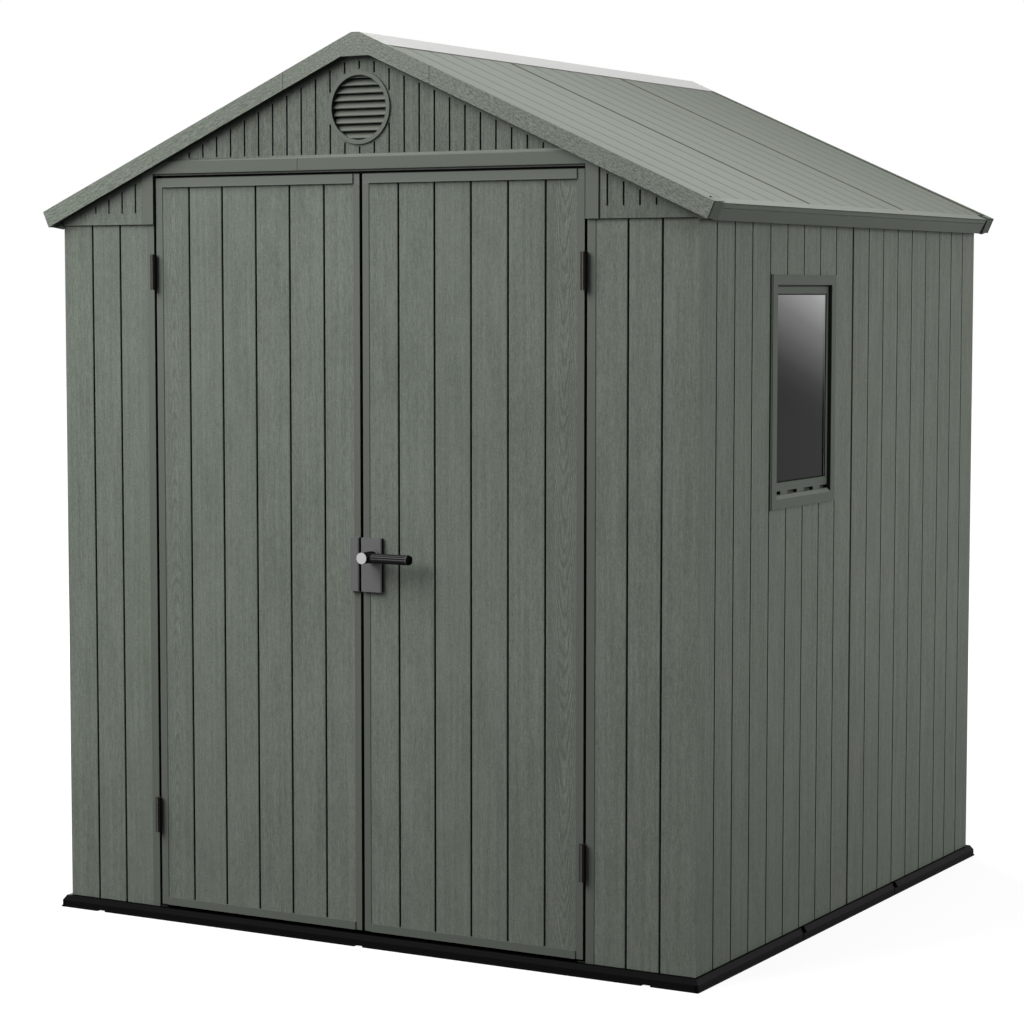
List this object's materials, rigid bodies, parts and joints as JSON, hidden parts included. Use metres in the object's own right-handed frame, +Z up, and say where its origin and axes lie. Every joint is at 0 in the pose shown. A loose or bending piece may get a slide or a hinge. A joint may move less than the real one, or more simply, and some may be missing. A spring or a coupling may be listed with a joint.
{
  "type": "garden shed",
  "caption": "Resin garden shed with grooved grey-green wall panels, double hinged doors, round gable vent, side window, pitched ribbed roof and translucent ridge strip",
  "frame": {"origin": "middle of the base at ground level, in the symmetry plane of the gable", "axes": "+Z up, doors face -Y, the window wall faces +X"},
  "size_m": [1.9, 1.855, 2.218],
  "materials": {
    "base": "black moulded resin with a fine texture",
    "boards": "grey-green resin with an embossed wood grain",
    "smooth_frame": "smooth grey-green resin",
    "roof": "grey-green resin with fine ribs",
    "skylight": "translucent white resin",
    "pane": "clear fixed pane",
    "hinge_metal": "dark brown coated steel",
    "lock_plate": "dark grey moulded plastic",
    "lever": "black satin plastic",
    "cap": "pale grey plastic"
  },
  "bodies": {
    "shed": {"floor_front": "base", "floor_middle": "base", "floor_rear": "base", "front_left_panel": "boards", "front_right_panel": "boards", "right_wall_front": "boards", "right_wall_rear": "boards", "left_wall_front": "boards", "left_wall_rear": "boards", "rear_left_panel": "boards", "rear_right_panel": "boards", "gable_left_wing": "boards", "gable_right_wing": "boards", "door_head_frame": "smooth_frame", "front_gable": "boards", "rear_gable": "boards", "gable_vent": "smooth_frame", "roof_left_front": "roof", "roof_left_middle": "roof", "roof_left_rear": "roof", "roof_right_front": "roof", "roof_right_middle": "roof", "roof_right_rear": "roof", "ridge_skylight": "skylight", "front_barge_left": "boards", "front_barge_peak": "boards", "front_barge_right": "boards", "rear_barge_left": "boards", "rear_barge_peak": "boards", "rear_barge_right": "boards", "left_eave_strip": "smooth_frame", "right_eave_strip": "smooth_frame", "window_frame": "smooth_frame", "window_sash": "smooth_frame", "window_pane": "pane", "hinge_frame_halves": "hinge_metal"},
    "left_door": {"left_door": "boards", "left_door_hinge_halves": "hinge_metal", "left_lock_plate": "lock_plate"},
    "right_door": {"right_door": "boards", "right_door_hinge_halves": "hinge_metal", "right_lock_plate": "lock_plate"},
    "lever": {"lever_handle": "lever", "lever_cap": "cap"}
  },
  "joints": [
    {"name": "left_door_hinge", "type": "hinge", "parent": "shed", "child": "left_door", "pos_m": [-0.6125, -0.893, 1], "axis": [0, 0, -1], "range_deg": [0, 115]},
    {"name": "right_door_hinge", "type": "hinge", "parent": "shed", "child": "right_door", "pos_m": [0.6125, -0.893, 1], "axis": [0, 0, 1], "range_deg": [0, 115]},
    {"name": "lever_turn", "type": "hinge", "parent": "right_door", "child": "lever", "pos_m": [0.0385, -0.92, 0.9615], "axis": [0, 1, 0], "range_deg": [0, 60]}
  ]
}
